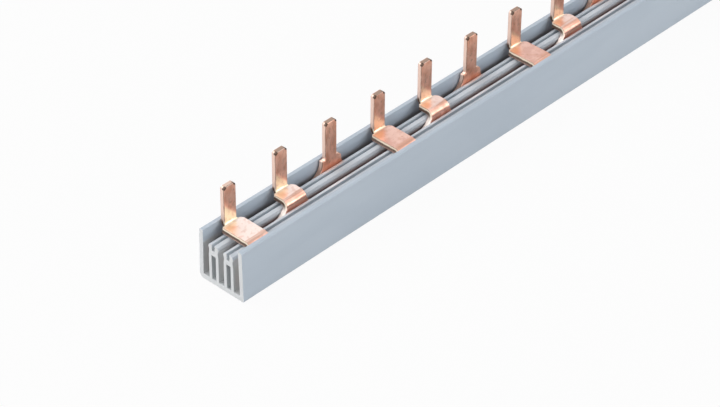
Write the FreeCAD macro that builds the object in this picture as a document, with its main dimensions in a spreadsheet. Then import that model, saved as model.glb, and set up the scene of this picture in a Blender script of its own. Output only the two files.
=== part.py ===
import FreeCAD, Part
import math
import os
import Sketcher

# Comb busbar for three phases: one extruded housing and three stamped, bent copper combs.
# The frame: X along the bar, Y from the front wall to the rear wall, Z up.
# The origin is the middle of the housing's base face.

# Driving dimensions, in millimetres, apart from the last one, which is a count
SIZES = [
    ("module_pitch", 17.8),
    ("end_margin", 7.95),
    ("wall", 1.35),
    ("wall_lean", 0.3),
    ("wall_height", 15.25),
    ("floor_thickness", 1.55),
    ("front_corner_radius", 0.5),
    ("rear_corner_radius", 1.5),
    ("rim_radius", 0.5),
    ("divider_width", 3.4),
    ("divider_wall", 1.0),
    ("web_underside", 8.95),
    ("web_thickness", 1.5),
    ("notch_width", 0.9),
    ("neck_depth", 0.2),
    ("neck_height", 10.65),
    ("barb_reach", 0.12),
    ("barb_height", 11.55),
    ("shoulder_inset", 0.25),
    ("shoulder_height", 12.15),
    ("head_height", 12.5),
    ("strip_thickness", 1.4),
    ("strip_side_gap", 0.2),
    ("strip_end_gap", 2.5),
    ("strip_height", 8.5),
    ("near_flare", 4.5),
    ("far_flare", 3.5),
    ("bend_radius", 0.8),
    ("tongue_near", 3.0),
    ("tongue_far", 3.6),
    ("tongue_setback", 0.3),
    ("tongue_corner", 1.1),
    ("pin_width", 3.8),
    ("pin_root", 0.5),
    ("pin_corner", 0.7),
    ("front_tongue_rise", 12.7),
    ("middle_tongue_rise", 13.1),
    ("rear_tongue_rise", 13.25),
    ("front_pin_rise", 24.0),
    ("middle_pin_rise", 25.1),
    ("rear_pin_rise", 24.6),
    ("cut_margin", 1.0),
    ("pins_per_comb", 4),
]

doc = FreeCAD.newDocument("comb_busbar")
sheet = doc.addObject("Spreadsheet::Sheet", "Sizes")
for row, (alias, number) in enumerate(SIZES, start=1):
    sheet.set(f"A{row}", alias)
    sheet.set(f"B{row}", str(number))
    sheet.setAlias(f"B{row}", alias)
doc.recompute()

# Lengths that follow from the driving dimensions, as expressions
COMBS = 3
PINS = f"({COMBS} * Sizes.pins_per_comb)"
LENGTH = f"(({PINS} - 1) * Sizes.module_pitch + 2 * Sizes.end_margin)"
CHANNEL_WIDTH = "(Sizes.strip_thickness + 2 * Sizes.strip_side_gap)"
CHANNEL_PITCH = f"({CHANNEL_WIDTH} + Sizes.divider_width)"
CHANNEL_EDGE = f"({CHANNEL_PITCH} + {CHANNEL_WIDTH} / 2)"
HALF_WIDTH = f"({CHANNEL_EDGE} + Sizes.wall_lean + Sizes.wall)"
TONGUE_PITCH = f"({COMBS} * Sizes.module_pitch)"
BEND_OUTSIDE = "(Sizes.bend_radius + Sizes.strip_thickness)"
HALF_STRIP = "(Sizes.strip_thickness / 2)"
HALF_PIN = "(Sizes.pin_width / 2)"
NEAR_ROOT = "(Sizes.tongue_near + Sizes.near_flare)"
FAR_ROOT = "(Sizes.tongue_far + Sizes.far_flare)"
BLANK_REACH = f"(max({NEAR_ROOT}; {FAR_ROOT}) + Sizes.cut_margin)"


def number_of(expression):
    """The number that an expression over the driving dimensions gives."""
    return float(sheet.evalExpression(expression))


def origin_feature(body, role):
    """A plane or an axis of the body's own origin."""
    return next(item for item in body.Origin.OriginFeatures if item.Role == role)


def new_body(name):
    body = doc.addObject("PartDesign::Body", name)
    body.Label = name
    return body


def new_sketch(body, name, plane):
    sketch = body.newObject("Sketcher::SketchObject", name)
    sketch.AttachmentSupport = [(origin_feature(body, plane), "")]
    sketch.MapMode = "FlatFace"
    return sketch


def arc_between(start, end, radius, turn):
    """Arc from start to end; turn is 1 where it runs anticlockwise and -1 where clockwise."""
    chord = end - start
    half = chord.Length / 2
    height = math.sqrt(max(radius * radius - half * half, 0.0))
    aside = FreeCAD.Vector(-chord.y, chord.x, 0).normalize() * turn
    centre = (start + end) / 2 + aside * height
    circle = Part.Circle(centre, FreeCAD.Vector(0, 0, 1), radius)
    first, last = (start, end) if turn > 0 else (end, start)
    angles = [math.atan2(point.y - centre.y, point.x - centre.x) for point in (first, last)]
    if angles[1] < angles[0]:
        angles[1] += 2 * math.pi
    return Part.ArcOfCircle(circle, *angles)


def draw_outline(sketch, corners):
    """Closed outline through corners, each (u, v) or (u, v, radius, turn) where an arc leads to it."""
    points = [FreeCAD.Vector(number_of(corner[0]), number_of(corner[1]), 0) for corner in corners]
    ends = []
    for index, corner in enumerate(corners):
        start = points[index - 1]
        if len(corner) == 2:
            edge = sketch.addGeometry(Part.LineSegment(start, points[index]), False)
            ends.append((edge, 1, 2))
            continue
        radius, turn = corner[2:]
        edge = sketch.addGeometry(arc_between(start, points[index], number_of(radius), turn), False)
        ends.append((edge, 1, 2) if turn > 0 else (edge, 2, 1))
        bend = sketch.addConstraint(Sketcher.Constraint("Radius", edge, number_of(radius)))
        sketch.setExpression(f"Constraints[{bend}]", radius)
    for index, corner in enumerate(corners):
        edge, _, last = ends[index]
        following, first, _ = ends[(index + 1) % len(corners)]
        sketch.addConstraint(Sketcher.Constraint("Coincident", edge, last, following, first))
        for kind, expression in (("DistanceX", corner[0]), ("DistanceY", corner[1])):
            size = Sketcher.Constraint(kind, -1, 1, edge, last, number_of(expression))
            place = sketch.addConstraint(size)
            sketch.setExpression(f"Constraints[{place}]", expression)


def add_pad(body, name, sketch, length):
    """Pad of a sketch, half of its length to each side of the sketch's plane."""
    pad = body.newObject("PartDesign::Pad", name)
    pad.Profile = sketch
    pad.SideType = "Symmetric"
    pad.setExpression("Length", length)
    return pad


def add_cut(body, name, sketch):
    """Pocket of a sketch right through the body, to both sides of the sketch's plane."""
    pocket = body.newObject("PartDesign::Pocket", name)
    pocket.Profile = sketch
    pocket.SideType = "Symmetric"
    pocket.Type = "ThroughAll"
    return pocket


# Housing: one extruded section with three channels between two hollow dividers
def divider_flank(centre, side):
    """Outline of one flank of a divider, from the channel floor up to its head and into the notch."""
    sign = "+" if side > 0 else "-"
    flank = f"{centre} {sign} (Sizes.divider_width / 2"
    return [
        (f"{flank})", "Sizes.floor_thickness"),
        (f"{flank})", "Sizes.web_underside"),
        (f"{flank} - Sizes.neck_depth)", "Sizes.neck_height"),
        (f"{flank} + Sizes.barb_reach)", "Sizes.barb_height"),
        (f"{flank} - Sizes.shoulder_inset)", "Sizes.shoulder_height"),
        (f"{centre} {sign} Sizes.notch_width / 2", "Sizes.head_height"),
        (f"{centre} {sign} Sizes.notch_width / 2", "Sizes.web_underside + Sizes.web_thickness"),
    ]


def divider_cell(centre):
    """Outline of the hollow inside a divider, below its web."""
    half_cell = "(Sizes.divider_width / 2 - Sizes.divider_wall)"
    return [
        (f"{centre} - {half_cell}", "Sizes.floor_thickness"),
        (f"{centre} + {half_cell}", "Sizes.floor_thickness"),
        (f"{centre} + {half_cell}", "Sizes.web_underside"),
        (f"{centre} - {half_cell}", "Sizes.web_underside"),
    ]


def make_housing():
    rear_divider = f"{CHANNEL_PITCH} / 2"
    front_divider = f"-{CHANNEL_PITCH} / 2"
    rim = "Sizes.wall_height - Sizes.rim_radius"
    front_base_edge = f"({HALF_WIDTH} - Sizes.front_corner_radius)"
    rear_base_edge = f"({HALF_WIDTH} - Sizes.rear_corner_radius)"
    lean_edge = f"({HALF_WIDTH} - Sizes.wall_lean)"
    section = [
        (f"-{front_base_edge}", "0", "Sizes.front_corner_radius", 1),
        (rear_base_edge, "0"),
        (HALF_WIDTH, "Sizes.rear_corner_radius", "Sizes.rear_corner_radius", 1),
        (lean_edge, rim),
        (f"{lean_edge} - Sizes.rim_radius", "Sizes.wall_height", "Sizes.rim_radius", 1),
        (f"{lean_edge} - Sizes.wall", "Sizes.wall_height"),
        (f"{HALF_WIDTH} - Sizes.wall", "Sizes.floor_thickness"),
    ]
    for centre in (rear_divider, front_divider):
        section += divider_flank(centre, 1)
        section += reversed(divider_flank(centre, -1))
    section += [
        (f"-({HALF_WIDTH} - Sizes.wall)", "Sizes.floor_thickness"),
        (f"-({lean_edge} - Sizes.wall)", "Sizes.wall_height"),
        (f"-({lean_edge} - Sizes.rim_radius)", "Sizes.wall_height"),
        (f"-{lean_edge}", rim, "Sizes.rim_radius", 1),
        (f"-{HALF_WIDTH}", "Sizes.front_corner_radius"),
    ]
    body = new_body("housing")
    sketch = new_sketch(body, "housing_section", "YZ_Plane")
    draw_outline(sketch, section)
    for centre in (rear_divider, front_divider):
        draw_outline(sketch, divider_cell(centre))
    body.Tip = add_pad(body, "housing_extrusion", sketch, LENGTH)
    return body


# Combs: a strip standing on edge in its channel, with a bent tongue and a pin at every third module
def draw_band(sketch, reach, tongue_rise, pin_rise):
    """Side view of a tongue: up from the strip, back over the dividers and up again as the pin."""
    front, back = f"-{HALF_STRIP}", HALF_STRIP
    pin_front, pin_back = f"({reach} - {HALF_STRIP})", f"({reach} + {HALF_STRIP})"
    underside = f"({tongue_rise} - Sizes.strip_thickness)"
    draw_outline(sketch, [
        (back, "Sizes.strip_height / 2"),
        (back, f"{underside} - Sizes.bend_radius"),
        (f"{back} + Sizes.bend_radius", underside, "Sizes.bend_radius", -1),
        (f"{pin_front} - Sizes.bend_radius", underside),
        (pin_back, f"{tongue_rise} + Sizes.bend_radius", BEND_OUTSIDE, 1),
        (pin_back, pin_rise),
        (pin_front, pin_rise),
        (pin_front, f"{tongue_rise} + Sizes.bend_radius"),
        (f"{pin_front} - Sizes.bend_radius", tongue_rise, "Sizes.bend_radius", -1),
        (f"{front} + {BEND_OUTSIDE}", tongue_rise),
        (front, f"{tongue_rise} - {BEND_OUTSIDE}", BEND_OUTSIDE, 1),
        (front, "Sizes.strip_height / 2"),
    ])


def tip_corner(sign, pin_rise):
    """Waste at one rounded corner of the pin's tip, in the front view."""
    turn = 1 if sign else -1
    return [
        (f"{sign}{HALF_PIN}", f"{pin_rise} - Sizes.pin_corner"),
        (f"{sign}({HALF_PIN} - Sizes.pin_corner)", pin_rise, "Sizes.pin_corner", -turn),
        (f"{sign}({HALF_PIN} - Sizes.pin_corner)", f"{pin_rise} + Sizes.cut_margin"),
        (f"{sign}({HALF_PIN} + Sizes.cut_margin)", f"{pin_rise} + Sizes.cut_margin"),
        (f"{sign}({HALF_PIN} + Sizes.cut_margin)", f"{pin_rise} - Sizes.pin_corner"),
    ]


def flare_waste(sign, edge, flare, tongue_rise):
    """Waste beside a tongue, in the front view, down to the round where it widens into the strip."""
    turn = 1 if sign else -1
    top = f"{tongue_rise} + Sizes.cut_margin"
    return [
        (f"{sign}{BLANK_REACH}", "Sizes.strip_height"),
        (f"{sign}({edge} + {flare})", "Sizes.strip_height"),
        (f"{sign}{edge}", f"Sizes.strip_height + {flare}", flare, turn),
        (f"{sign}{edge}", top),
        (f"{sign}{BLANK_REACH}", top),
    ]


def draw_shoulders(sketch, reach):
    """Waste beside the pin, in the plan view: a square near shoulder and a rounded far one."""
    shoulder = f"({reach} - {HALF_STRIP} - Sizes.tongue_setback)"
    rear = f"({reach} + {HALF_STRIP} + Sizes.cut_margin)"
    side = f"({BLANK_REACH} + Sizes.cut_margin)"
    draw_outline(sketch, [
        (f"-{side}", shoulder),
        (f"-({HALF_PIN} + Sizes.pin_root)", shoulder),
        (f"-{HALF_PIN}", f"{shoulder} + Sizes.pin_root", "Sizes.pin_root", 1),
        (f"-{HALF_PIN}", rear),
        (f"-{side}", rear),
    ])
    draw_outline(sketch, [
        (HALF_PIN, rear),
        (HALF_PIN, f"{shoulder} + Sizes.pin_root"),
        (f"{HALF_PIN} + Sizes.pin_root", shoulder, "Sizes.pin_root", 1),
        ("Sizes.tongue_far - Sizes.tongue_corner", shoulder),
        ("Sizes.tongue_far", f"{shoulder} - Sizes.tongue_corner", "Sizes.tongue_corner", -1),
        (side, f"{shoulder} - Sizes.tongue_corner"),
        (side, rear),
    ])


def add_bent_tongue(body, name, reach, tongue_rise, pin_rise):
    """Tongue and pin bent from the blank: the side view padded, then trimmed from front and above."""
    band = new_sketch(body, f"{name}_band_side", "YZ_Plane")
    draw_band(band, reach, tongue_rise, pin_rise)
    outline = new_sketch(body, f"{name}_front_waste", "XZ_Plane")
    draw_outline(outline, flare_waste("-", "Sizes.tongue_near", "Sizes.near_flare", tongue_rise))
    draw_outline(outline, flare_waste("", "Sizes.tongue_far", "Sizes.far_flare", tongue_rise))
    shoulders = new_sketch(body, f"{name}_plan_waste", "XY_Plane")
    draw_shoulders(shoulders, reach)
    tip = new_sketch(body, f"{name}_tip_waste", "XZ_Plane")
    for sign in ("-", ""):
        draw_outline(tip, tip_corner(sign, pin_rise))
    return [
        add_pad(body, f"{name}_band", band, f"2 * {BLANK_REACH}"),
        add_cut(body, f"{name}_front_trim", outline),
        add_cut(body, f"{name}_plan_trim", shoulders),
        add_cut(body, f"{name}_tip_trim", tip),
    ]


def add_straight_tongue(body, name, tongue_rise, pin_rise):
    """Tongue and pin that stand straight up from the strip, in one plane with it."""
    near, far = "Sizes.tongue_near", "Sizes.tongue_far"
    sketch = new_sketch(body, f"{name}_outline", "XZ_Plane")
    draw_outline(sketch, [
        (f"-{NEAR_ROOT}", "Sizes.strip_height / 2"),
        (FAR_ROOT, "Sizes.strip_height / 2"),
        (FAR_ROOT, "Sizes.strip_height"),
        (far, "Sizes.strip_height + Sizes.far_flare", "Sizes.far_flare", -1),
        (far, f"{tongue_rise} - Sizes.tongue_corner"),
        (f"{far} - Sizes.tongue_corner", tongue_rise, "Sizes.tongue_corner", 1),
        (f"{HALF_PIN} + Sizes.pin_root", tongue_rise),
        (HALF_PIN, f"{tongue_rise} + Sizes.pin_root", "Sizes.pin_root", -1),
        (HALF_PIN, f"{pin_rise} - Sizes.pin_corner"),
        (f"{HALF_PIN} - Sizes.pin_corner", pin_rise, "Sizes.pin_corner", 1),
        (f"-({HALF_PIN} - Sizes.pin_corner)", pin_rise),
        (f"-{HALF_PIN}", f"{pin_rise} - Sizes.pin_corner", "Sizes.pin_corner", 1),
        (f"-{HALF_PIN}", f"{tongue_rise} + Sizes.pin_root"),
        (f"-({HALF_PIN} + Sizes.pin_root)", tongue_rise, "Sizes.pin_root", -1),
        (f"-{near}", tongue_rise),
        (f"-{near}", "Sizes.strip_height + Sizes.near_flare"),
        (f"-{NEAR_ROOT}", "Sizes.strip_height", "Sizes.near_flare", -1),
    ])
    return [add_pad(body, f"{name}_plate", sketch, "Sizes.strip_thickness")]


def make_comb(name, phase):
    """Comb of one phase, in a frame of its own: first pin at x = 0, strip in the plane y = 0."""
    label = f"{name}_comb"
    tongue_rise = f"Sizes.{name}_tongue_rise"
    pin_rise = f"Sizes.{name}_pin_rise"
    reach = f"({COMBS - 1 - phase} * {CHANNEL_PITCH})"
    first_pin = f"(({phase} - ({PINS} - 1) / 2) * Sizes.module_pitch)"
    strip_start = f"(-{LENGTH} / 2 + Sizes.strip_end_gap - {first_pin})"
    strip_end = f"({LENGTH} / 2 - Sizes.strip_end_gap - {first_pin})"

    body = new_body(label)
    body.setExpression(".Placement.Base.x", first_pin)
    body.setExpression(".Placement.Base.y", f"{phase - 1} * {CHANNEL_PITCH}")
    body.setExpression(".Placement.Base.z", "Sizes.floor_thickness")
    strip = new_sketch(body, f"{name}_strip_outline", "XZ_Plane")
    draw_outline(strip, [
        (strip_start, "0"),
        (strip_end, "0"),
        (strip_end, "Sizes.strip_height"),
        (strip_start, "Sizes.strip_height"),
    ])
    add_pad(body, f"{name}_strip", strip, "Sizes.strip_thickness")
    if phase < COMBS - 1:
        tongue = add_bent_tongue(body, name, reach, tongue_rise, pin_rise)
    else:
        tongue = add_straight_tongue(body, name, tongue_rise, pin_rise)
    row = body.newObject("PartDesign::LinearPattern", f"{name}_tongue_row")
    row.Originals = tongue
    row.Direction = (origin_feature(body, "X_Axis"), [""])
    row.Mode = "Spacing"
    row.setExpression("Offset", TONGUE_PITCH)
    row.setExpression("Occurrences", "Sizes.pins_per_comb")
    body.Tip = row

    # What a tongue's flare would carry past the strip's own ends is cut off square
    ends = new_sketch(body, f"{name}_end_waste", "XZ_Plane")
    top = f"{tongue_rise} - Sizes.cut_margin"
    for inside, outside in ((strip_start, f"({strip_start} - {BLANK_REACH})"),
                            (strip_end, f"({strip_end} + {BLANK_REACH})")):
        draw_outline(ends, [
            (inside, "-Sizes.cut_margin"),
            (outside, "-Sizes.cut_margin"),
            (outside, top),
            (inside, top),
        ])
    body.Tip = add_cut(body, f"{name}_end_trim", ends)
    return body


def check_model(parts):
    """Stop on any failed object, and on any sub-part that is not one sound solid."""
    doc.recompute()
    for item in doc.Objects:
        if {"Invalid", "Error"} & set(item.State):
            raise RuntimeError(f"{item.Name} failed: {item.State}")
    for part in parts:
        shape = part.Shape
        if shape.isNull() or not shape.isValid() or len(shape.Solids) != 1:
            raise RuntimeError(f"{part.Label} is not one sound solid")


parts = [make_housing()]
parts += [make_comb(name, phase) for phase, name in enumerate(("front", "middle", "rear"))]
check_model(parts)
os.makedirs("parts", exist_ok=True)
for part in parts:
    part.Shape.exportStep(os.path.join("parts", f"{part.Label}.step"))
    box = part.Shape.BoundBox
    print(f"{part.Label}: {part.Shape.Volume:.1f} mm3, x {box.XMin:.2f} to {box.XMax:.2f},"
          f" y {box.YMin:.2f} to {box.YMax:.2f}, z {box.ZMin:.2f} to {box.ZMax:.2f}")
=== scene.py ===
import math

import bmesh
import bpy
from mathutils import Matrix, Vector


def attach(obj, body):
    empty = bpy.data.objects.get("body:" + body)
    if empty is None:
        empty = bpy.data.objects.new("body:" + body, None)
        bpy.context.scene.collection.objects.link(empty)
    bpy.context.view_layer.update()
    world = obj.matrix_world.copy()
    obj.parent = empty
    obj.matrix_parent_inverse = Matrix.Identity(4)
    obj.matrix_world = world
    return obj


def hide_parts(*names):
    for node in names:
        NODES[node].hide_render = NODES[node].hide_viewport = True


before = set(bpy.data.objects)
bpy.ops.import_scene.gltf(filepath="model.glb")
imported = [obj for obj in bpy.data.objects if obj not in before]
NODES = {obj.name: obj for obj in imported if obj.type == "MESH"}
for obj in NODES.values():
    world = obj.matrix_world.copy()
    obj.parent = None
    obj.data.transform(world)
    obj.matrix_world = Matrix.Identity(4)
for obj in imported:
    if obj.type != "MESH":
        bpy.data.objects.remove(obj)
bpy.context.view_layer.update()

# The part's sizes, in metres. The row of twelve pins is centred on x = 0.
HALF_LENGTH = 0.10585
HALF_WIDTH = 0.00775
PITCH = 0.0178
ROW_START = -6 * PITCH
PIN_HALF_WIDTH = 0.00185
SHEET_MM = 1.4
MM_PER_METRE = 1000.0

# Rounding of the pieces' edges: its radii in metres, the distance at which two points are one,
# and the angles in degrees up to which faces are one plane, from which an edge is rounded, and
# up to which the shading is smooth
PLASTIC_ROUNDING = 0.00010
COPPER_ROUNDING = 0.00008
SAME_POINT = 1e-6
SAME_PLANE = 0.6
SHARP = 40.0
SMOOTH = 35.0

# Below, a pair is where a tone starts and where it is full: in metres, or as its name says. A
# share is how far a tone covers what is under it. A pattern is the waves that noise has in a
# metre along x, y and z, and then its detail; noise lies about its middle.
NOISE_MIDDLE = 0.5

# Plastic: colours
SKIN_DARK = (0.475, 0.548, 0.628, 1.0)
SKIN_PALE = (0.505, 0.577, 0.655, 1.0)
# Painted shade low in the channels, and a painted reddish reflection of the copper in the middle one
SHADE_GREY = (0.15, 0.145, 0.15, 1.0)
COPPER_REFLECTION_RED = (0.19, 0.085, 0.07, 1.0)
# Painted light: at the channels' mouths near the open ends, and on the dividers' heads
MOUTH_LIT = (0.68, 0.68, 0.65, 1.0)
HEAD_LIT = (0.76, 0.80, 0.84, 1.0)
SAWN_DARK = (0.71, 0.73, 0.745, 1.0)
SAWN_PALE = (0.785, 0.80, 0.81, 1.0)

# Plastic: places
WALL_INNER_Y = (0.0071, 0.0069)
MIDDLE_CHANNEL_Y = (0.0030, 0.0022)
# Where the painted shade lies: its heights, its fade towards the open ends, and its share
SHADE_SIDES_Z = (0.0119, 0.0095)
SHADE_MIDDLE_Z = (0.0113, 0.0105)
SHADE_X = (0.1055, 0.0960)
SHADE_SHARE = 0.88
# Painted light where the channels open at the ends
MOUTH_X = (0.0975, 0.1050)
MOUTH_Z = (0.0120, 0.0110)
MOUTH_SHARE = 0.6
# Painted light on the dividers' heads
HEADS_Y = (0.0056, 0.0050)
HEADS_Z = (0.0112, 0.0122)
HEADS_DROP = 0.0012
HEADS_SHARE = 0.65
SAWN_NORMAL = (0.9, 0.98)

# Plastic: patterns, the noise at which their tones change, and the surface. A bump is its
# strength and its height in metres.
PLASTIC_CLOUDS = ((25.0, 90.0, 90.0), 3.0)
PLASTIC_CLOUD_NOISE = (0.35, 0.65)
SAW_MARKS = ((1.0, 900.0, 4000.0), 2.0)
DRAWN_LINES = ((4.0, 1500.0, 1500.0), 4.0)
DRAWN_LINE_BUMP = (0.06, 0.00006)
PLASTIC_ROUGHNESS = 0.34

# Copper: colours
SHEET_DARK = (0.56, 0.335, 0.28, 1.0)
SHEET_PALE = (0.66, 0.44, 0.375, 1.0)
# Painted sheen on upward faces
SHEET_SHEEN = (0.79, 0.70, 0.655, 1.0)
# Real stains, and painted dark bands in the crest bend's highlight
SHEET_STAIN_AND_DARK_REFLECTION = (0.54, 0.30, 0.22, 1.0)
# Painted reflection of a pin in the tongue beside its foot
SHEET_PIN_REFLECTION = (0.54, 0.31, 0.21, 1.0)
# Forward faces: redder copies of the copper, painted for what they mirror
UPRIGHT_DARK = (0.80, 0.42, 0.32, 1.0)
UPRIGHT_PALE = (0.96, 0.555, 0.44, 1.0)
PIN_DARK = (0.82, 0.40, 0.27, 1.0)
PIN_PALE = (0.98, 0.56, 0.41, 1.0)
# Painted golden reflection of the tongue at a pin's foot
PIN_GOLD_REFLECTION = (0.85, 0.83, 0.59, 1.0)
CUT_PALE = (0.88, 0.65, 0.55, 1.0)
CUT_BROWN = (0.32, 0.17, 0.11, 1.0)
CUT_CREAM = (1.0, 0.85, 0.67, 1.0)
CUT_SHADE = (0.09, 0.055, 0.04, 1.0)
# Painted dark reflection at the corners of the tips
CORNER_DARK_REFLECTION = (0.05, 0.03, 0.02, 1.0)
# Painted shade on the pins' tops
TIP_SHADE = (0.30, 0.20, 0.15, 1.0)
# Flank colours: painted shade for the rear comb, painted light for the middle one
FLANK_SHADED = (0.40, 0.24, 0.18, 1.0)
FLANK_LIT = (0.98, 0.88, 0.82, 1.0)

# Copper: the bends of the sheet, with their inner and outer radius. The foot bend turns a tongue
# up into its pin, round a line at FOOT_Y. The crest bend turns it down into the channel.
FOOT_Y = 0.0037
INNER_BEND = 0.0008
OUTER_BEND = 0.0022
NO_TONGUE = -1.0

# Copper: patterns, and the noise at which their tones change
COPPER_CLOUDS = ((420.0, 420.0, 300.0), 4.0)
COPPER_CLOUD_NOISE = (0.36, 0.64)
STAINS = ((900.0, 900.0, 500.0), 3.0)
STAIN_NOISE = (0.52, 0.68)
SPECKS = ((1500.0, 1500.0, 900.0), 2.0)
SPECK_NOISE = (0.60, 0.70)
STRIPES = ((60.0, 800.0, 800.0), 2.0)
STRIPE_NOISE = (0.47, 0.56)
RAGGED = ((700.0, 700.0, 350.0), 3.0)
ROLLED = ((60.0, 700.0, 700.0), 3.0)
WAVES = ((260.0, 420.0, 420.0), 3.0)

# Copper: tones of the sheet's faces
# The near end, where the painted sheen and the painted reflection at a pin's foot are stronger
NEAR_X = (-0.055, -0.085)
NEAR_SHEEN_SHARE = 0.8
UPWARD_NORMAL = (0.2, 0.6)
FORWARD_NORMAL = (-0.10, -0.60)
# The painted golden reflection at a pin's foot: its slant, height and share
FOOT_REFLECTION_SLOPE = 1.07
FOOT_REFLECTION_Z = (0.0188, 0.0172)
FOOT_REFLECTION_SHARE = 0.5
FOOT_REFLECTION_MORE_NEAR = 0.25
STAIN_SHARE = 0.38
SPECK_SHARE = 0.34
SPECK_SHARE_LESS_SHEEN = 0.3
# The painted reflection of a pin beside its foot: its place, size, ragged rim, height and share
PIN_REFLECTION_ALONG = -0.0018
PIN_REFLECTION_Y = 0.0028
PIN_REFLECTION_RADIUS = (0.0021, 0.0004)
PIN_REFLECTION_RAGGED = 0.0012
PIN_REFLECTION_ABOVE_TOP = (0.0010, 0.0004)
PIN_REFLECTION_SHARE = 0.7
# Painted dark bands in the highlight round the crest bend
CREST_FADE = 0.0008
CREST_BELOW_TOP = (0.0030, 0.0020)
STRIPE_SHARE = 0.7

# Copper: tones of the cut edges. Depths in the sheet are in millimetres.
FACE_DEPTH = (0.07, 0.13)
EDGE_RAGGED = 0.4
PIN_LINE_DEPTH = (0.24, 0.42)
LOW_ABOVE_TOP = (0.0015, 0.0005)
# Depths of the rough torn zone, whose colour is painted shade
FRACTURE_AND_SHADE_DEPTH = (0.50, 0.75)
TORN_Z = (0.0122, 0.0134)
# The pins' tops with painted shade, more of it on all but the nearest pin
TIP_NORMAL = (0.75, 0.95)
TIP_Z = (0.0240, 0.0245)
TIP_X = (-0.095, -0.085)
TIP_SHARE = 0.45
TIP_SHARE_MORE_FAR = 0.5
FLANK_Z = (0.0135, 0.0120)
FLANK_SHARE = 0.85
CORNER_BELOW_TIP = 0.0001
CORNER_RADIUS = (0.0008, 0.0005)
CORNER_RAGGED = 0.0004
CORNER_DEPTH = (0.85, 0.60)
CORNER_SHARE = 0.92

# Copper: surface
DULL_EDGE = 0.4
DULL_EDGE_MORE_LOW = 0.4
SHEET_ROUGHNESS = (0.29, 0.39)
ROUGHER_EDGE = 0.15
ROUGHER_EDGE_MORE_TORN = 0.4
WAVE_BUMP = (0.06, 0.0003)

# Studio
WHITE = (1.0, 1.0, 1.0, 1.0)
FLOOR_GREY = (0.58, 0.58, 0.58, 1.0)
FLOOR_ROUGHNESS = 0.9
FLOOR_SIZE = 6.0
FLOOR_DROP = 0.0002
FLOOR_WHITE_SHARE = 0.95
WORLD_LIGHT = 0.12
WHITE_STRENGTH = 1.0

# Lamps: place, width and height in metres, and power in watts. All of them face the part.
LAMPS = {
    "behind": ((-0.3, 0.62, 0.85), (1.0, 1.0), 9.0),
    "across": ((0.68, 0.74, 0.80), (0.7, 0.7), 0.6),
    "key": ((0.58, -0.54, 0.61), (0.9, 0.9), 1.35),
    "front": ((0.25, -0.95, 0.32), (0.9, 0.5), 4.5),
    "left": ((-1.0, -0.15, 0.45), (0.9, 0.6), 4.8),
}

# Camera, fitted to the photograph: angles in radians, its place from the housing's near front
# corner at floor height in metres, and its focal length in pixels of a picture 720 wide
AZIMUTH = -0.814576353
ELEVATION = 0.656390345
ROLL = 0.00645451
FROM_CORNER = (-0.353684, -0.372544, 0.426233)
FOCAL_PIXELS = 2719.85
PICTURE_WIDTH = 720
SENSOR_MM = 36.0
CLIP = (0.01, 20.0)


class Field:
    """A number that is worked out at each point of a surface, to calculate with like a plain one."""

    def __init__(self, graph, socket):
        self.graph = graph
        self.socket = socket

    def __add__(self, other):
        return self.graph.math("ADD", self, other)

    def __sub__(self, other):
        return self.graph.math("SUBTRACT", self, other)

    def __rsub__(self, other):
        return self.graph.math("SUBTRACT", other, self)

    def __mul__(self, other):
        return self.graph.math("MULTIPLY", self, other)

    def __mod__(self, other):
        return self.graph.math("MODULO", self, other)

    def __abs__(self):
        return self.graph.math("ABSOLUTE", self)


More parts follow.
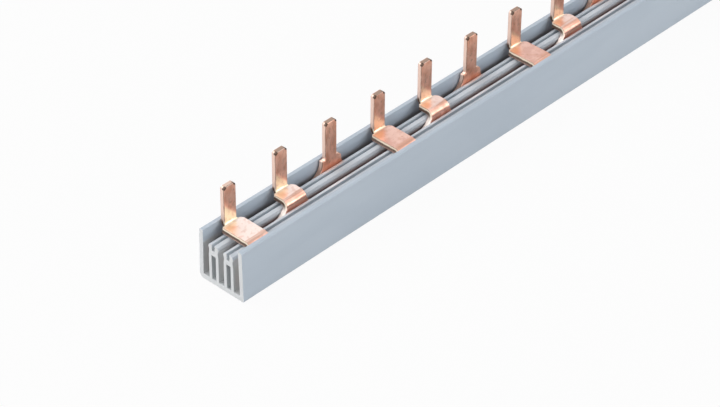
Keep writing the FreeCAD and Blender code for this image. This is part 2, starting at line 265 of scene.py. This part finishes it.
class Graph:
    """A node tree, with short calls for the nodes that are used most."""

    def __init__(self, tree):
        self.tree = tree

    def node(self, kind, **settings):
        made = self.tree.nodes.new(kind)
        for key, value in settings.items():
            setattr(made, key, value)
        return made

    def put(self, value, target):
        """Link a field or a socket to a node's input, or set the input to a plain value."""
        if isinstance(value, Field):
            value = value.socket
        if isinstance(value, bpy.types.NodeSocket):
            self.tree.links.new(value, target)
        else:
            target.default_value = value

    def math(self, operation, a, b=0.0):
        made = self.node("ShaderNodeMath", operation=operation)
        self.put(a, made.inputs[0])
        self.put(b, made.inputs[1])
        return Field(self, made.outputs[0])

    def length(self, a, b):
        return self.math("SQRT", a * a + b * b)

    def step(self, value, start, end):
        """0 up to start, 1 from end, and smooth between; start may be the larger one."""
        made = self.node("ShaderNodeMapRange", interpolation_type="SMOOTHSTEP")
        self.put(value, made.inputs["Value"])
        self.put(start, made.inputs["From Min"])
        self.put(end, made.inputs["From Max"])
        return Field(self, made.outputs["Result"])

    def mix(self, share, under, over):
        """The colour under, covered to a share by the colour over."""
        made = self.node("ShaderNodeMix", data_type="RGBA")
        self.put(share, made.inputs["Factor"])
        self.put(under, made.inputs["A"])
        self.put(over, made.inputs["B"])
        return made.outputs["Result"]

    def mix_shaders(self, share, under, over):
        made = self.node("ShaderNodeMixShader")
        self.put(share, made.inputs[0])
        self.put(under, made.inputs[1])
        self.put(over, made.inputs[2])
        return made.outputs[0]

    def coordinates(self):
        """The point in the frame, in metres, and the face's normal there."""
        made = self.node("ShaderNodeTexCoord")
        return made.outputs["Object"], made.outputs["Normal"]

    def split(self, vector):
        """A vector's x, y and z."""
        made = self.node("ShaderNodeSeparateXYZ")
        self.put(vector, made.inputs[0])
        return [Field(self, part) for part in made.outputs]

    def noise(self, place, waves, detail):
        """Noise from 0 to 1, by a pattern's waves in a metre and its detail."""
        mapping = self.node("ShaderNodeMapping")
        self.put(place, mapping.inputs["Vector"])
        self.put(waves, mapping.inputs["Scale"])
        made = self.node("ShaderNodeTexNoise")
        self.put(mapping.outputs[0], made.inputs["Vector"])
        self.put(1.0, made.inputs["Scale"])
        self.put(detail, made.inputs["Detail"])
        return Field(self, made.outputs["Fac"])

    def bump(self, height, strength, distance):
        """A normal for a surface with the height, times a distance in metres."""
        made = self.node("ShaderNodeBump")
        self.put(strength, made.inputs["Strength"])
        self.put(distance, made.inputs["Distance"])
        self.put(height, made.inputs["Height"])
        return made.outputs[0]

    def in_picture(self):
        """1 for rays from the camera and for mirrored or transmitted rays, and 0 for others."""
        rays = self.node("ShaderNodeLightPath").outputs
        seen = self.math("MAXIMUM", rays["Is Camera Ray"], rays["Is Glossy Ray"])
        return self.math("MAXIMUM", seen, rays["Is Transmission Ray"])


def new_material(name):
    """A material, its graph and its shader's inputs."""
    material = bpy.data.materials.new(name)
    material.use_nodes = True
    graph = Graph(material.node_tree)
    return material, graph, graph.tree.nodes["Principled BSDF"].inputs


def grey_plastic():
    """Extruded rigid plastic: a satin skin with faint draw lines, and paler sawn ends.

    The channels have painted shade low down, and the middle one a painted reddish reflection of
    the copper beside it; the dividers' heads and the channels' mouths have painted light, paler.
    """
    material, g, shader = new_material("grey_plastic")
    place, normal = g.coordinates()
    x, y, z = g.split(place)
    normal_x = g.split(normal)[0]

    clouds = g.step(g.noise(place, *PLASTIC_CLOUDS), *PLASTIC_CLOUD_NOISE)
    colour = g.mix(clouds, SKIN_DARK, SKIN_PALE)

    inside = g.step(abs(y), *WALL_INNER_Y)
    middle = g.step(abs(y), *MIDDLE_CHANNEL_Y)
    # Painted shade low in the channels, fading out towards the open ends, reddish in the middle channel
    # as a painted reflection of the copper
    painted_shade = g.step(z, *SHADE_SIDES_Z) * (1.0 - middle) + g.step(z, *SHADE_MIDDLE_Z) * middle
    painted_shade = inside * painted_shade * SHADE_SHARE * g.step(abs(x), *SHADE_X)
    colour = g.mix(painted_shade, colour, g.mix(middle, SHADE_GREY, COPPER_REFLECTION_RED))

    # Painted light inside the channels near the open ends, where light comes in
    lit_mouth = inside * g.step(abs(x), *MOUTH_X) * g.step(z, *MOUTH_Z)
    colour = g.mix(lit_mouth * MOUTH_SHARE, colour, MOUTH_LIT)

    # Painted light on the dividers' heads, reaching lower in the middle channel
    lit_heads = g.step(abs(y), *HEADS_Y) * g.step(z + middle * HEADS_DROP, *HEADS_Z)
    colour = g.mix(lit_heads * HEADS_SHARE, colour, HEAD_LIT)

    sawn = g.mix(g.noise(place, *SAW_MARKS), SAWN_DARK, SAWN_PALE)
    g.put(g.mix(g.step(abs(normal_x), *SAWN_NORMAL), colour, sawn), shader["Base Color"])

    g.put(PLASTIC_ROUGHNESS, shader["Roughness"])
    g.put(g.bump(g.noise(place, *DRAWN_LINES), *DRAWN_LINE_BUMP), shader["Normal"])
    return material


def sheet_depth(g, y, z, tongue_top, crest):
    """Depth in the copper sheet, in millimetres: 0 on a pin's front face and 1.4 on its back.

    It follows the sheet down the pin, round the foot bend, along the tongue and round the
    crest bend, so it tells a cut edge from the sheet's two faces.
    """

    def round_corner(a, b):
        """How far a point lies past two straight sides, measured round their corner."""
        return g.length(g.math("MAXIMUM", a, 0.0), g.math("MAXIMUM", b, 0.0))

    foot = round_corner(y - FOOT_Y, tongue_top + INNER_BEND - z) - INNER_BEND
    over = OUTER_BEND - round_corner(crest - y, z - (tongue_top - OUTER_BEND))
    behind = g.math("GREATER_THAN", y, crest)
    return (foot * behind + over * (1.0 - behind)) * MM_PER_METRE


def bright_copper(name, tongue_top, crest, tip_height, sheen, flank):
    """Rolled bright copper: mottled faces with stains, and cut edges with lines along them.

    tongue_top is the height of a tongue's upper face and crest the y at which its crest bend
    starts; both are NO_TONGUE for a comb without tongues. tip_height is the top of the pins.
    sheen is the least share of painted sheen on upward faces, and flank is the colour of the cut
    edges that run down into the channel; it carries painted light on the middle comb and painted
    shade on the rear one.
    """
    material, g, shader = new_material(name)
    place, normal = g.coordinates()
    x, y, z = g.split(place)
    normal_y, normal_z = g.split(normal)[1:]

    depth = sheet_depth(g, y, z, tongue_top, crest)
    face_ends, cut_starts = FACE_DEPTH
    cut = g.step(depth, face_ends, cut_starts)
    cut = cut * g.step(depth, SHEET_MM - face_ends, SHEET_MM - cut_starts)
    along = (x - ROW_START) % PITCH - PITCH / 2
    near = g.step(x, *NEAR_X)

    # Upward and backward faces: mottled, with a painted sheen on the upward ones that is paler towards
    # the near end
    clouds = g.noise(place, *COPPER_CLOUDS)
    mottle = g.step(clouds, *COPPER_CLOUD_NOISE)
    painted_sheen = g.math("MAXIMUM", near * NEAR_SHEEN_SHARE, sheen) * g.step(normal_z, *UPWARD_NORMAL)
    lying = g.mix(painted_sheen, g.mix(mottle, SHEET_DARK, SHEET_PALE), SHEET_SHEEN)

    # Forward faces: a redder tone of their own, painted for the copper they mirror, and on a pin a
    # painted golden reflection at its foot, with a slanting upper end
    pin = g.math("GREATER_THAN", y, FOOT_Y)
    upright = g.mix(mottle, UPRIGHT_DARK, UPRIGHT_PALE)
    upright = g.mix(pin, upright, g.mix(mottle, PIN_DARK, PIN_PALE))
    if tongue_top != NO_TONGUE:
        # Painted golden reflection of the tongue in the pin, at its foot
        glow = g.step(z + along * FOOT_REFLECTION_SLOPE, *FOOT_REFLECTION_Z) * (near * FOOT_REFLECTION_MORE_NEAR + FOOT_REFLECTION_SHARE)
        upright = g.mix(glow * pin, upright, PIN_GOLD_REFLECTION)
    # Forward faces take their painted tone by the way they face
    face = g.mix(g.step(normal_y, *FORWARD_NORMAL), lying, upright)

    # Stains, dark specks, a painted reflection of each pin on the tongue beside its foot, and painted
    # dark bands in the highlight round the crest bend
    stains = g.step(g.noise(place, *STAINS), *STAIN_NOISE)
    face = g.mix(stains * STAIN_SHARE, face, SHEET_STAIN_AND_DARK_REFLECTION)
    specks = g.step(g.noise(place, *SPECKS), *SPECK_NOISE)
    specks = specks * (SPECK_SHARE - painted_sheen * SPECK_SHARE_LESS_SHEEN)
    face = g.mix(specks, face, CUT_BROWN)
    # Painted reflection of the pin on the tongue beside its foot
    pin_reflection = g.length(along - PIN_REFLECTION_ALONG, y - PIN_REFLECTION_Y) + (clouds - NOISE_MIDDLE) * PIN_REFLECTION_RAGGED
    above_top = [tongue_top + height for height in PIN_REFLECTION_ABOVE_TOP]
    pin_reflection = g.step(pin_reflection, *PIN_REFLECTION_RADIUS) * g.step(z, *above_top)
    face = g.mix(pin_reflection * PIN_REFLECTION_SHARE, face, SHEET_PIN_REFLECTION)
    # Painted dark bands in the highlight round the crest bend
    below_top = [tongue_top - height for height in CREST_BELOW_TOP]
    bend = g.step(y, crest + CREST_FADE, crest) * g.step(z, *below_top)
    stripes = g.step(g.noise(place, *STRIPES), *STRIPE_NOISE)
    face = g.mix(bend * stripes * STRIPE_SHARE, face, SHEET_STAIN_AND_DARK_REFLECTION)

    # Cut edges: a pin's are pale with a brown line, and a tongue's cream and then a rough torn zone with
    # painted shade
    ragged = g.noise(place, *RAGGED) - NOISE_MIDDLE
    line = depth + ragged * EDGE_RAGGED
    low_heights = [tongue_top + height for height in LOW_ABOVE_TOP]
    low = g.step(z, *low_heights)
    fracture_and_shade = g.step(line, *FRACTURE_AND_SHADE_DEPTH)
    edge = g.mix(g.step(line, *PIN_LINE_DEPTH), CUT_BROWN, CUT_PALE)
    edge = g.mix(low, edge, g.mix(fracture_and_shade, CUT_CREAM, CUT_SHADE))
    # Painted shade on the pins' tops, more of it on all but the nearest pin
    tip = g.step(normal_z, *TIP_NORMAL) * g.step(z, *TIP_Z)
    tip = tip * (g.step(x, *TIP_X) * TIP_SHARE_MORE_FAR + TIP_SHARE)
    edge = g.mix(tip, edge, TIP_SHADE)
    # The cut edges running down into the channel take the comb's flank colour, with painted light on the
    # middle comb and painted shade on the rear one
    edge = g.mix(g.step(z, *FLANK_Z) * FLANK_SHARE, edge, flank)

    # Painted dark reflections: spots at the corners of the tips, on the front part of the sheet
    corner = g.length(abs(along) - PIN_HALF_WIDTH, z - (tip_height - CORNER_BELOW_TIP))
    corner = g.step(corner + ragged * CORNER_RAGGED, *CORNER_RADIUS) * g.step(line, *CORNER_DEPTH)
    colour = g.mix(corner * CORNER_SHARE, g.mix(cut, face, edge), CORNER_DARK_REFLECTION)
    g.put(colour, shader["Base Color"])

    g.put(1.0 - cut * (low * DULL_EDGE_MORE_LOW + DULL_EDGE), shader["Metallic"])
    fracture_and_shade = fracture_and_shade * low * g.step(z, *TORN_Z)
    rolled = g.node("ShaderNodeMapRange")
    g.put(g.noise(place, *ROLLED), rolled.inputs["Value"])
    smoothest, roughest = SHEET_ROUGHNESS
    g.put(smoothest, rolled.inputs["To Min"])
    g.put(roughest, rolled.inputs["To Max"])
    worn = cut * (fracture_and_shade * ROUGHER_EDGE_MORE_TORN + ROUGHER_EDGE)
    g.put(worn + rolled.outputs["Result"], shader["Roughness"])
    g.put(g.bump(g.noise(place, *WAVES), *WAVE_BUMP), shader["Normal"])
    return material


def edged(name, radius, material):
    """A copy of a node with its sharp edges rounded, which stands for the node."""
    source = NODES[name]
    piece = bpy.data.objects.new(name + "_edged", source.data.copy())
    bpy.context.scene.collection.objects.link(piece)
    mesh = bmesh.new()
    mesh.from_mesh(piece.data)
    bmesh.ops.remove_doubles(mesh, verts=mesh.verts, dist=SAME_POINT)
    bmesh.ops.dissolve_limit(
        mesh,
        angle_limit=math.radians(SAME_PLANE),
        verts=mesh.verts,
        edges=mesh.edges,
        delimit={"NORMAL"},
    )
    mesh.to_mesh(piece.data)
    mesh.free()
    piece.data.materials.clear()
    piece.data.materials.append(material)
    rounding = piece.modifiers.new("rounding", "BEVEL")
    rounding.limit_method = "ANGLE"
    rounding.angle_limit = math.radians(SHARP)
    rounding.width = radius
    rounding.segments = 2
    rounding.harden_normals = True
    with bpy.context.temp_override(object=piece, active_object=piece, selected_objects=[piece]):
        bpy.ops.object.modifier_apply(modifier=rounding.name)
        bpy.ops.object.shade_smooth_by_angle(angle=math.radians(SMOOTH))
        weighted = piece.modifiers.new("weighted", "WEIGHTED_NORMAL")
        weighted.mode = "FACE_AREA"
        weighted.weight = 100
        weighted.keep_sharp = True
        bpy.ops.object.modifier_apply(modifier=weighted.name)
    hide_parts(name)
    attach(piece, "root")


def lay_floor():
    """A plain floor: grey to the light, which leaves it a soft shadow, and white where it is seen."""
    bpy.ops.mesh.primitive_plane_add(size=FLOOR_SIZE, location=(0.0, 0.0, -FLOOR_DROP))
    floor = bpy.context.object
    floor.name = "floor"
    material, g, shader = new_material("floor")
    g.put(FLOOR_GREY, shader["Base Color"])
    g.put(FLOOR_ROUGHNESS, shader["Roughness"])
    glow = g.node("ShaderNodeEmission")
    g.put(WHITE_STRENGTH, glow.inputs["Strength"])
    lit = g.tree.nodes["Principled BSDF"].outputs[0]
    surface = g.mix_shaders(g.in_picture() * FLOOR_WHITE_SHARE, lit, glow.outputs[0])
    g.put(surface, g.tree.nodes["Material Output"].inputs["Surface"])
    floor.data.materials.append(material)


def light_world():
    """Soft even light all round, and plain white where the world is seen or mirrored."""
    world = bpy.data.worlds.new("studio")
    bpy.context.scene.world = world
    world.use_nodes = True
    g = Graph(world.node_tree)
    sky = g.tree.nodes["Background"]
    g.put(WHITE, sky.inputs["Color"])
    g.put(WORLD_LIGHT, sky.inputs["Strength"])
    white = g.node("ShaderNodeBackground")
    g.put(WHITE, white.inputs["Color"])
    g.put(WHITE_STRENGTH, white.inputs["Strength"])
    surface = g.mix_shaders(g.in_picture(), sky.outputs[0], white.outputs[0])
    g.put(surface, g.tree.nodes["World Output"].inputs["Surface"])


def soft_box(name, where, size, power):
    """A rectangular area lamp at a place, turned to the middle of the part's base."""
    data = bpy.data.lights.new(name, "AREA")
    data.shape = "RECTANGLE"
    data.size, data.size_y = size
    data.energy = power
    lamp = bpy.data.objects.new(name, data)
    bpy.context.scene.collection.objects.link(lamp)
    lamp.location = where
    lamp.rotation_mode = "QUATERNION"
    lamp.rotation_quaternion = (-Vector(where)).to_track_quat("-Z", "Y")


def set_camera():
    """The camera that took the photograph, as fitted to it."""
    flat = math.cos(ELEVATION)
    back = Vector((math.sin(AZIMUTH) * flat, -math.cos(AZIMUTH) * flat, math.sin(ELEVATION)))
    side = Vector((math.cos(AZIMUTH), math.sin(AZIMUTH), 0.0))
    rise = back.cross(side)
    right = math.cos(ROLL) * side + math.sin(ROLL) * rise
    up = -math.sin(ROLL) * side + math.cos(ROLL) * rise
    view = bpy.data.cameras.new("view")
    view.sensor_fit = "HORIZONTAL"
    view.sensor_width = SENSOR_MM
    view.lens = FOCAL_PIXELS / PICTURE_WIDTH * SENSOR_MM
    view.clip_start, view.clip_end = CLIP
    camera = bpy.data.objects.new("view", view)
    bpy.context.scene.collection.objects.link(camera)
    place = Vector(FROM_CORNER) - Vector((HALF_LENGTH, HALF_WIDTH, 0.0))
    turned = Matrix((right, up, back)).transposed().to_4x4()
    camera.matrix_world = Matrix.Translation(place) @ turned
    bpy.context.scene.camera = camera


front_copper = bright_copper(
    "front_copper", tongue_top=0.01425, crest=-0.0037, tip_height=0.02555, sheen=0.0, flank=CUT_PALE
)
middle_copper = bright_copper(
    "middle_copper", tongue_top=0.01465, crest=0.0015, tip_height=0.02665, sheen=0.45, flank=FLANK_LIT
)
rear_copper = bright_copper(
    "rear_copper", tongue_top=NO_TONGUE, crest=NO_TONGUE, tip_height=0.02615, sheen=0.0, flank=FLANK_SHADED
)
edged("housing", PLASTIC_ROUNDING, grey_plastic())
edged("front_comb", COPPER_ROUNDING, front_copper)
edged("middle_comb", COPPER_ROUNDING, middle_copper)
edged("rear_comb", COPPER_ROUNDING, rear_copper)

lay_floor()
light_world()
for name, (where, size, power) in LAMPS.items():
    soft_box(name, where, size, power)
set_camera()
bpy.context.scene.view_settings.view_transform = "Standard"
